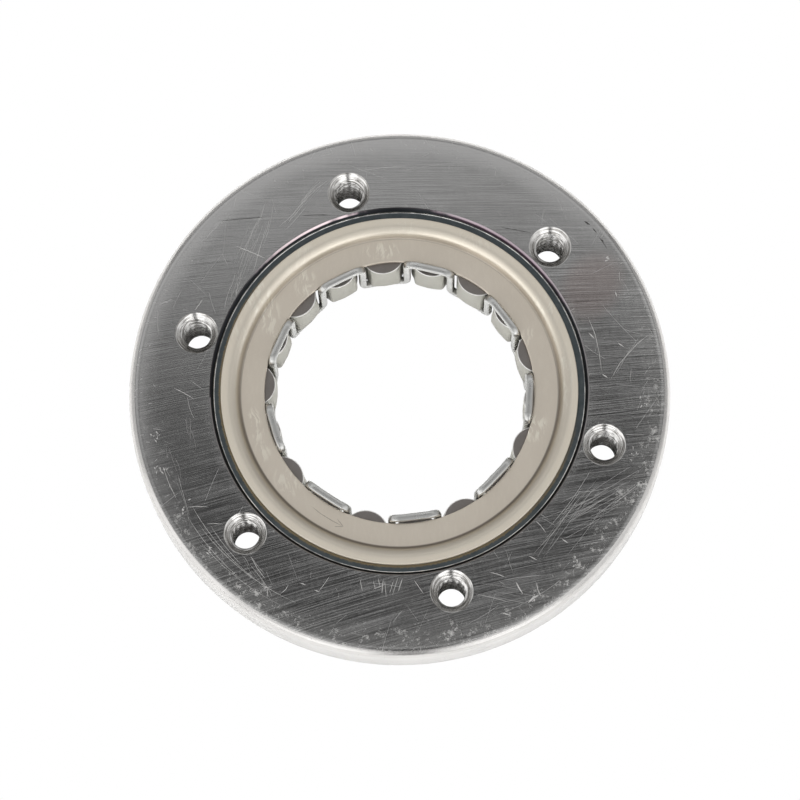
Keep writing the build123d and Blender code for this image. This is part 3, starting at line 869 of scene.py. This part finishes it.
def race():
    s = Soup()
    FACE, WALL, CHAM, THREAD, CB, TINT, TRACK, BACK, SCR, SCORE, HAIR, CROWN, FAINT = range(13)
    holes = [(x, y, 3.89, NH) for x, y in HOLES]
    grooves = [(g, SCR) for g in marks(MARKS)] + [(g, SCORE) for g in marks(SCORES)]
    grooves += [(g, FAINT) for g in hair(12, 35.5, 45.0, 3, (0.03, 0.05), (0.008, 0.012))]
    grooves += [(g, SCR if bright else FAINT) for g, bright in fine_marks()]
    flat(s, H, TOP_EDGE, FLAT_R, NO, NO, holes, grooves, FACE, True, rings=(CROWN_R, 44.7, 45.2, 45.7, 46.2, 46.6))
    s.v = [(px, py, pz - sink(px, py)) for px, py, pz in s.v]
    for k, f in enumerate(s.f):
        if s.m[k] == FACE and max(sink(s.v[i][0], s.v[i][1]) for i in f) > 1e-4:
            s.m[k] = CROWN
    flat(s, 0.0, BOT_EDGE, RO - 2.66, NO, NO, [(x, y, 3.15, NH) for x, y in HOLES], [(g, SCR) for g in hair(14, 33, 46, 5)], BACK, False, rings=(39.0,))
    # outside: rounded upper edge, wall, rounded lower chamfer
    prof = [(FLAT_R + (RO - 1.9 - FLAT_R) * t / 2, H) for t in range(3)]
    crowns = len(prof) - 1 + 5
    lower = [((q[0] - CROWN_R) / (RO - 1.9 - CROWN_R)) ** 2 for q in prof] + [1.0] * 19
    prof += arc(RO - 1.8, H - 1.8, 1.8, 88, 0, 18)
    prof += rounded([(RO, H - 2.0), (RO, 3.0), (RO - 2.6, 0.0)], {1: 0.5}, 5)[1:-1] + [(RO - 2.56, 0.045), (RO - 2.60, 0.012), (RO - 2.66, 0.0)]
    zs = [p[1] for p in prof]
    mats = [CROWN if i < crowns else WALL if (zs[i] + zs[i + 1]) / 2 > 2.9 else CHAM for i in range(len(prof) - 1)]
    falls = [CROWN_DROP * fall(2 * math.pi * i / NO) for i in range(NO)]
    lower += [0.0] * (len(prof) - len(lower))
    s.grid([[(px, py, pz - k * f) for (px, py, pz), f in zip(circle(r, NO, z), falls)] for (r, z), k in zip(prof, lower)], mats)
    # inside: counterbore chamfer, wall, corner, floor, track, lower chamfer
    prof = rounded(
        [(TOP_EDGE, H), (34.45, H - 0.02), (33.85, H - 0.6), (33.85, 10.95), (31.465, 10.95), (31.165, 10.65), (31.165, 0.5), (31.665, 0.02), (BOT_EDGE, 0.0)],
        {1: 0.03, 2: 0.05, 3: 0.2, 4: 0.05, 5: 0.05, 6: 0.05}, 5)
    mats = []
    for (ra, za), (rb, zb) in zip(prof, prof[1:]):
        z, r = (za + zb) / 2, (ra + rb) / 2
        mats.append(TINT if z > 11.42 else HAIR if z > 10.952 and r > 33.6 and z < 11.16 else CB if z > 10.93 else TRACK)
    s.grid([circle(r, NO, z) for r, z in prof], mats)
    # threaded holes: the cutting of the helix meets both countersinks
    pitch = 1.0
    for k, (cx, cy) in enumerate(HOLES):
        zlist = [H, H - 0.02, H - 0.05] + [H - 0.05 - 0.0662 * i for i in range(1, 179)]
        zlist = [z for z in zlist if z > 0.12] + [0.05, 0.02, 0.0]
        ph0 = 0.37 * k
        rings, mats = [], []
        for z in zlist:
            top = 3.85 - (H - z) if z > 8 else 0
            if z >= H - 1e-9:
                top = 3.89
            elif z > H - 0.03:
                top = 3.855
            bot = 3.10 - z if z < 2 else 0
            if z <= 1e-9:
                bot = 3.15
            elif z < 0.03:
                bot = 3.11
            ring = []
            for i in range(NH):
                th = 2 * math.pi * i / NH
                u = ((z / pitch - th / (2 * math.pi) + ph0) % 1.0)
                t = abs(u - 0.5)
                if z > H - 0.04 or z < 0.04:
                    rr = max(top, bot)
                else:
                    rt = 3.02 - max(0.0, min(1.0, (t - 0.0625) / 0.3125)) * 0.52
                    rr = max(rt, top, bot)
                ring.append((cx + rr * math.cos(th), cy + rr * math.sin(th), z))
            rings.append(ring)
        s.grid(rings, THREAD)
    ob = s.make("outer_race_visual", [M_FACE, M_WALL, M_CHAM, M_THREAD, M_CBORE, M_TINT, M_TRACK, M_BACK, M_SCR, M_SCORE, M_CORNER_HIGHLIGHT, M_FACE, M_FAINT], 28.0, 1e-6, (FACE, BACK, SCR, SCORE, FAINT))
    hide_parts("outer_race")
    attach(ob, "race")
    return ob


# ------------------------------------------------------------------ side plate
def plate():
    s = Soup()
    t, r_out, r_in, rim, fl = 0.85, 32.5, 24.6, 11.84, 10.1
    step_r, cv_r, cc_r, sa = 31.15, 1.9, 0.4, math.radians(60.0)
    cv = (step_r, rim - cv_r)
    te = (cv[0] - cv_r * math.sin(sa), cv[1] + cv_r * math.cos(sa))
    bx = te[0] - (te[1] - fl) / math.tan(sa)
    cc = (bx - cc_r * math.tan(sa / 2), fl + cc_r)
    n = 600
    flat_out = cc[0] - 0.01
    # upper side, from the flange outwards
    up = [(flat_out, fl)] + arc(cc[0], cc[1], cc_r, -90, -30, 8) + arc(cv[0], cv[1], cv_r, 150, 90, 18)
    up += [(r_out - 0.2, rim)] + arc(r_out - 0.2, rim - 0.2, 0.2, 80, 0, 5)
    up += [(r_out, rim - t + 0.2)] + arc(r_out - 0.2, rim - t + 0.2, 0.2, -10, -90, 5)
    # lower side back to the bore
    lo = [(step_r, rim - t)] + arc(cv[0], cv[1], cv_r - t, 90, 150, 10) + arc(cc[0], cc[1], cc_r + t, -30, -90, 10)
    lo += [(r_in + 0.2, fl - t)] + arc(r_in + 0.2, fl - t + 0.2, 0.2, 260, 180, 5) + arc(r_in + 0.2, fl - 0.2, 0.2, 180, 90, 5)
    prof = up + lo
    s.grid([circle(r, n, z) for r, z in prof], 0)
    # the flange's face carries a faint scribed arrow: the way the hub runs free
    g = []
    a = [VIEW(*p) for p in ((-16.9, -20.6), (-15.2, -22.1), (-13.2, -23.5), (-11.2, -24.7))]
    g.append(Groove(a, 0.16, 0.03))
    g.append(Groove([VIEW(-12.9, -24.55), VIEW(-11.2, -24.7)], 0.14, 0.03))
    g.append(Groove([VIEW(-12.3, -23.2), VIEW(-11.2, -24.7)], 0.14, 0.03))
    flat(s, fl, r_in + 0.2, flat_out, n, n, [], [(q, 1) for q in g], 2, True, 0.35)
    ob = s.make("side_plate_visual", [M_PLATE, M_SCRIBE, M_PLATE], 30.0, 1e-6, (1, 2))
    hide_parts("side_plate")
    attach(ob, "cage")
    return ob


# ------------------------------------------------------------------ sprags
def sprag_outline(n=150):
    """The sprag's section at angle 0, as a closed list of points."""
    nose_in_r, nose_in_min, nose_out_r, nose_out_max, off = 4.15, 22.67, 4.5, 31.10, 0.896
    co_r = nose_out_max - nose_out_r
    ca = -math.degrees(math.asin(off / co_r))
    ci = (nose_in_min + nose_in_r, 0.0)
    co = (co_r * math.cos(math.radians(ca)), co_r * math.sin(math.radians(ca)))
    pt = lambda c, r, d: np.array((c[0] + r * math.cos(math.radians(d)), c[1] + r * math.sin(math.radians(d))))

    def arc3(a, b, c, k):
        ax, ay, bx, by, cx, cy = *a, *b, *c
        d = 2 * (ax * (by - cy) + bx * (cy - ay) + cx * (ay - by))
        ux = ((ax * ax + ay * ay) * (by - cy) + (bx * bx + by * by) * (cy - ay) + (cx * cx + cy * cy) * (ay - by)) / d
        uy = ((ax * ax + ay * ay) * (cx - bx) + (bx * bx + by * by) * (ax - cx) + (cx * cx + cy * cy) * (bx - ax)) / d
        r = math.hypot(ax - ux, ay - uy)
        a0, a1, a2 = (math.atan2(q[1] - uy, q[0] - ux) for q in (a, b, c))
        w = lambda v: (v + math.pi) % (2 * math.pi) - math.pi
        tot = w(a1 - a0) + w(a2 - a1)
        return [np.array((ux + r * math.cos(a0 + tot * i / k), uy + r * math.sin(a0 + tot * i / k))) for i in range(k)]

    p1, p4 = pt(ci, nose_in_r, 180 - 67), pt(ci, nose_in_r, 180 + 72)
    p2, p3 = pt(co, nose_out_r, ca + 42), pt(co, nose_out_r, ca - 42)
    dense = arc3(p1, np.array((nose_in_min, 0.0)), p4, 400) + arc3(p4, np.array((27.3, -2.65)), p3, 220)
    dense += arc3(p3, pt(co, nose_out_r, ca), p2, 330) + arc3(p2, np.array((27.3, 1.6)), p1, 220)
    P = np.array(dense)
    # even spacing, then smooth so that the corners turn over
    def even(Q, k):
        e = np.linalg.norm(np.roll(Q, -1, 0) - Q, axis=1)
        c = np.r_[0, np.cumsum(e)]
        t = np.linspace(0, c[-1], k, endpoint=False)
        R = np.r_[Q, Q[:1]]
        return np.c_[np.interp(t, c, R[:, 0]), np.interp(t, c, R[:, 1])], c[-1]
    P, L = even(P, 1200)
    sig = 0.16 / (L / 1200)
    x = np.arange(-60, 61)
    ker = np.exp(-x * x / (2 * sig * sig))
    ker /= ker.sum()
    Q = sum(w * np.roll(P, int(k), 0) for w, k in zip(ker, x))
    Q, _ = even(Q, n)
    return Q


OUTLINE = sprag_outline()


def sprag(i):
    z0, z1, e = 1.15, 9.2, 0.17
    a = math.radians(12.7 + 20 * i)
    ca, sa = math.cos(a), math.sin(a)
    y = OUTLINE[:, 1]
    # lower down the inner nose is worn nearly flat between two rounded corners
    start = np.where(y > 0, 2.05, 2.25)     # the leading corner needs room to tilt past the cage's leg
    worn = 22.70 + 0.25 * (y / 2.7) ** 2 + 1.6 * np.clip((np.abs(y) - start) / 1.05, 0, None) ** 3
    cut = np.where(OUTLINE[:, 0] < 24.6, np.minimum(0, worn - OUTLINE[:, 0]), 0)

    def ring(inset, z):
        t = min(1.0, max(0.0, (8.3 - z) / 4.6))
        Q = OUTLINE.copy()
        Q[:, 0] += cut * (t * t * (3 - 2 * t))
        T = np.roll(Q, -1, 0) - np.roll(Q, 1, 0)
        T /= np.linalg.norm(T, axis=1)[:, None]
        N = np.c_[T[:, 1], -T[:, 0]]
        if ((Q - Q.mean(0)) * N).sum() < 0:
            N = -N
        Q -= N * (inset + 0.05 * np.clip(OUTLINE[:, :1] - 27.3, 0, 1))
        return [(px * ca - py * sa, px * sa + py * ca, z) for px, py in Q]

    s = Soup()
    turn = (0, 22, 45, 68, 90)
    low = [ring(e * (1 - math.sin(math.radians(t))), z0 + e * (1 - math.cos(math.radians(t)))) for t in turn]
    mid = [ring(0, z0 + (z1 - z0) * k / 12) for k in range(1, 12)]
    top = [ring(e * (1 - math.sin(math.radians(t))), z1 - e * (1 - math.cos(math.radians(t)))) for t in turn[::-1]]
    s.grid(low + mid + top, [2] * 4 + [0] * 12 + [2] * 4)
    n = len(OUTLINE)
    s.add(ring(e, z0), [tuple(range(n - 1, -1, -1))], 1)
    s.add(ring(e, z1), [tuple(range(n))], 1)
    name = f"sprag_{i + 1:02d}"
    ob = s.make(name + "_visual", [M_SPR, M_SPR_END, M_SPR_EDGE], 30.0, 1e-6, (1,))
    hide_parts(name)
    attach(ob, name + "_body")
    return ob


# ------------------------------------------------------------------ inner cage
def meander():
    """The inner cage: one strap with rounded edges, bent up and down past each sprag in turn."""
    apo, half, d = 23.675, math.radians(10), 2.5
    side = 2 * apo * math.tan(half)
    big = d / math.tan(half)               # radius that rounds the 18-sided line
    z_top, z_bot, corner = 10.875, 0.625, 1.3
    a_r, b_top, b_bot, b_leg, power = 0.70, 0.525, 0.475, 0.69, 0.62

    def place(u):
        """Point in the plane and outward direction at distance u along the 18-sided line."""
        k = math.floor(u / side)
        q = u - (k + 0.5) * side
        f = math.radians(12.7 + 20 * k)
        n, t = np.array((math.cos(f), math.sin(f))), np.array((-math.sin(f), math.cos(f)))
        over = abs(q) - (side / 2 - d)
        if over <= 0:
            return apo * n + q * t, n
        sg = 1 if q > 0 else -1
        th = sg * half * over / d
        m = np.array((math.cos(f + th), math.sin(f + th)))
        c = (apo - big) * n + sg * (side / 2 - d) * t
        return c + big * m, m

    # the line (u, z) with its corners rounded: value, direction and half height at each step
    path = []
    for k in range(18):
        za, zb = (z_top, z_bot) if k % 2 == 0 else (z_bot, z_top)
        s = 1 if zb > za else -1
        u0 = k * side
        ba, bb = (b_top, b_bot) if k % 2 == 0 else (b_bot, b_top)
        for i in range(9):                   # turn into the leg
            f = math.pi / 2 * i / 8
            path.append((u0 - corner + corner * math.sin(f), za + s * corner * (1 - math.cos(f)), math.cos(f), s * math.sin(f), ba + (b_leg - ba) * i / 8))
        for i in range(1, 8):                # the leg
            path.append((u0, za + s * corner + (abs(zb - za) - 2 * corner) * s * i / 8, 0.0, s, b_leg))
        for i in range(9):                   # turn out of the leg
            f = math.pi / 2 * i / 8
            path.append((u0 + corner * (1 - math.cos(f)), zb - s * corner * (1 - math.sin(f)), math.sin(f), s * math.cos(f), b_leg + (bb - b_leg) * i / 8))
        for i in range(1, 8):                # the bar
            path.append((u0 + corner + (side - 2 * corner) * i / 8, zb, 1.0, 0.0, bb))
    sec = []
    for i in range(28):
        t = 2 * math.pi * i / 28
        c, w = math.cos(t), math.sin(t)
        sec.append((math.copysign(abs(c) ** power, c), math.copysign(abs(w) ** power, w)))
    total = 18 * side
    rings = []
    for u, z, du, dz, b in path:
        ring = []
        p, n = place(u % total)
        t = np.array((-n[1], n[0]))
        for e, f in sec:
            # across the strap, in the surface that the strap lies in
            ou, oz = -dz * b * f, du * b * f
            q, m = place((u + ou) % total)
            wob = 0.035 * mnoise.noise(Vector((q[0] * 0.55, q[1] * 0.55, (z + oz) * 0.55))) + 0.015 * mnoise.noise(Vector((q[0] * 1.7, q[1] * 1.7, (z + oz) * 1.7)))
            off = (a_r - 0.03) * e + wob * (0.6 if e > 0 else 1.0)
            ring.append((q[0] + m[0] * off, q[1] + m[1] * off, z + oz * (1 - 0.05 + wob)))
        rings.append(ring)
    rings.append(rings[0])
    s = Soup()
    s.grid(rings, 0)
    ob = s.make("inner_cage_visual", [M_CAGE], 60.0, 1e-6)
    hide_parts("inner_cage")
    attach(ob, "cage")
    return ob


def ribbon():
    """The ribbon spring: a rail with one finger between each pair of sprags, rounded at the free end."""
    r0, r1, z0, rail, z1 = 26.9, 27.1, 0.2, 1.05, 8.7
    a0, a1, c = math.radians(6.55), math.radians(13.40), 0.9
    edge = []
    for k in range(18):
        f = math.radians(12.7 + 20 * k)
        w = c / r1
        edge.append((f + a0 - 0.5 / r1, rail))
        for i in range(1, 5):                # foot of the finger
            t = math.pi / 2 * i / 5
            edge.append((f + a0 - 0.5 / r1 * (1 - math.sin(t)), rail + 0.5 * (1 - math.cos(t))))
        edge.append((f + a0 - 0.0004, rail + 0.5))
        for i in range(9):
            t = math.pi / 2 * i / 8
            edge.append((f + a0 + w * (1 - math.cos(t)), z1 - c * (1 - math.sin(t))))
        for i in range(1, 4):
            edge.append((f + a0 + w + (a1 - a0 - 2 * w) * i / 4, z1))
        for i in range(9):
            t = math.pi / 2 * (8 - i) / 8
            edge.append((f + a1 - w * (1 - math.cos(t)), z1 - c * (1 - math.sin(t))))
        edge.append((f + a1 + 0.0004, rail + 0.5))
        for i in range(4, 0, -1):
            t = math.pi / 2 * i / 5
            edge.append((f + a1 + 0.5 / r1 * (1 - math.sin(t)), rail + 0.5 * (1 - math.cos(t))))
        edge.append((f + a1 + 0.5 / r1, rail))
        gap = math.radians(20) - (a1 - a0) - 1.0 / r1
        for i in range(1, 10):
            edge.append((f + a1 + 0.5 / r1 + gap * i / 10, rail))
    e = 0.05

    def line(r, k, low=False):
        return [(r * math.cos(t), r * math.sin(t), z0 + k if low else z - k) for t, z in edge]

    s = Soup()
    rings = [line(r0, e, True), line(r0 + e, 0, True), line(r1 - e, 0, True), line(r1, e, True), line(r1, e), line(r1 - e, 0), line(r0 + e, 0), line(r0, e)]
    s.grid(rings + [rings[0]], 0)
    ob = s.make("ribbon_spring_visual", [M_RIBBON], 35.0, 1e-6)
    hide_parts("ribbon_spring")
    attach(ob, "cage")
    return ob


race()
plate()
for i in range(18):
    sprag(i)
meander()
ribbon()


def paint(node, mat):
    me = nodes[node].data
    me.materials.clear()
    me.materials.append(mat)


paint("outer_cage", M_OUTER)

# ------------------------------------------------------------------ camera
cam = bpy.data.cameras.new("camera")
cam.sensor_width = 36.0
cam.lens = 137.98
cam.shift_x, cam.shift_y = 0.00088, -0.0144
cam.clip_start, cam.clip_end = 0.05, 20.0
cob = bpy.data.objects.new("camera", cam)
bpy.context.scene.collection.objects.link(cob)
el, roll, dist = math.radians(75.60), math.radians(2.693), 0.5566
back = Vector((*VIEW(0, -math.cos(el)), math.sin(el)))
right = Vector((*VIEW(1, 0), 0))
upv = back.cross(right)
r2 = right * math.cos(roll) - upv * math.sin(roll)
u2 = right * math.sin(roll) + upv * math.cos(roll)
rot = Matrix((r2, u2, back)).transposed().to_4x4()
cob.matrix_world = Matrix.Translation(Vector((0, 0, 0.012)) + back * dist) @ rot
bpy.context.scene.camera = cob

# ------------------------------------------------------------------ floor
fm = bpy.data.meshes.new("floor")
fm.from_pydata([(-3, -3, 0), (3, -3, 0), (3, 3, 0), (-3, 3, 0)], [], [(0, 1, 2, 3)])
floor = bpy.data.objects.new("floor", fm)
floor.location = (0, 0, -0.00002)
bpy.context.scene.collection.objects.link(floor)
fmat = bpy.data.materials.new("pale_floor")
fmat.use_nodes = True
nt = fmat.node_tree
fb = nt.nodes["Principled BSDF"]
fb.inputs["Base Color"].default_value = (0.82, 0.82, 0.815, 1)
fb.inputs["Roughness"].default_value = 0.9
em = nt.nodes.new("ShaderNodeEmission")
em.inputs["Color"].default_value = (1, 1, 1, 1)
em.inputs["Strength"].default_value = 1.0
lp = nt.nodes.new("ShaderNodeLightPath")
mx = nt.nodes.new("ShaderNodeMixShader")
nt.links.new(lp.outputs["Is Camera Ray"], mx.inputs[0])
nt.links.new(fb.outputs[0], mx.inputs[1])
nt.links.new(em.outputs[0], mx.inputs[2])
nt.links.new(mx.outputs[0], nt.nodes["Material Output"].inputs["Surface"])
fm.materials.append(fmat)


# ------------------------------------------------------------------ lights
def panel(name, at, to, w, h, radiance, color=(1, 1, 1), glossy=True, spread=180):
    """A soft box at a place given in the photograph's axes, in metres."""
    L = bpy.data.lights.new(name, "AREA")
    L.shape = "RECTANGLE"
    L.size, L.size_y = w, h
    L.energy = radiance * math.pi * w * h
    L.color = color
    L.spread = math.radians(spread)
    o = bpy.data.objects.new(name, L)
    bpy.context.scene.collection.objects.link(o)
    p = Vector((*VIEW(at[0], at[1]), at[2]))
    q = Vector((*VIEW(to[0], to[1]), to[2]))
    zax = (p - q).normalized()
    xax = Vector((*VIEW(1, 0), 0)) if abs(zax.z) > 0.999 else Vector((0, 0, 1)).cross(zax).normalized()
    o.matrix_world = Matrix.Translation(p) @ Matrix((xax, zax.cross(xax), zax)).transposed().to_4x4()
    o.visible_glossy = glossy
    return o


# A bright room: a lit ceiling with a dark gap over the part, and softer walls.
Z = 0.90
panel("ceiling_far", (0.0, 0.62, Z), (0.0, 0.62, 0), 1.7, 0.70, 0.70)
panel("ceiling_mid", (0.0, -0.085, Z), (0.0, -0.085, 0), 1.7, 0.33, 0.52)
panel("ceiling_near_left", (-0.55, -0.60, Z), (-0.55, -0.60, 0), 0.86, 0.70, 0.95)
panel("ceiling_near_right", (0.55, -0.60, Z), (0.55, -0.60, 0), 0.86, 0.70, 0.95)
panel("ceiling_left", (-0.54, 0.19, Z), (-0.54, 0.19, 0), 0.66, 0.16, 0.50)
panel("ceiling_right", (0.54, 0.19, Z), (0.54, 0.19, 0), 0.66, 0.16, 0.45)
panel("wall_near_left", (-0.52, -0.95, 0.42), (-0.52, 0, 0.42), 0.80, 0.80, 1.60)
panel("wall_near_right", (0.52, -0.95, 0.42), (0.52, 0, 0.42), 0.80, 0.80, 1.60)
panel("wall_left_near", (-0.90, -0.45, 0.42), (0, -0.45, 0.42), 0.80, 0.80, 1.30)
panel("wall_left_far", (-0.90, 0.40, 0.42), (0, 0.40, 0.42), 0.90, 0.80, 0.60)
panel("wall_right_near", (0.90, -0.45, 0.42), (0, -0.45, 0.42), 0.80, 0.80, 0.85)
panel("wall_right_far", (0.90, 0.40, 0.42), (0, 0.40, 0.42), 0.90, 0.80, 0.45)
panel("wall_far", (0.0, 1.00, 0.42), (0, 0, 0.42), 1.7, 0.80, 0.40)
panel("fill_top", (0.0, -0.1, 1.3), (0, 0, 0), 1.4, 1.4, 3.1, glossy=False)

world = bpy.data.worlds.new("studio")
world.use_nodes = True
world.node_tree.nodes["Background"].inputs["Color"].default_value = (1, 1, 1, 1)
world.node_tree.nodes["Background"].inputs["Strength"].default_value = 0.10
bpy.context.scene.world = world
bpy.context.scene.view_settings.view_transform = "Standard"
bpy.context.scene.view_settings.look = "None"
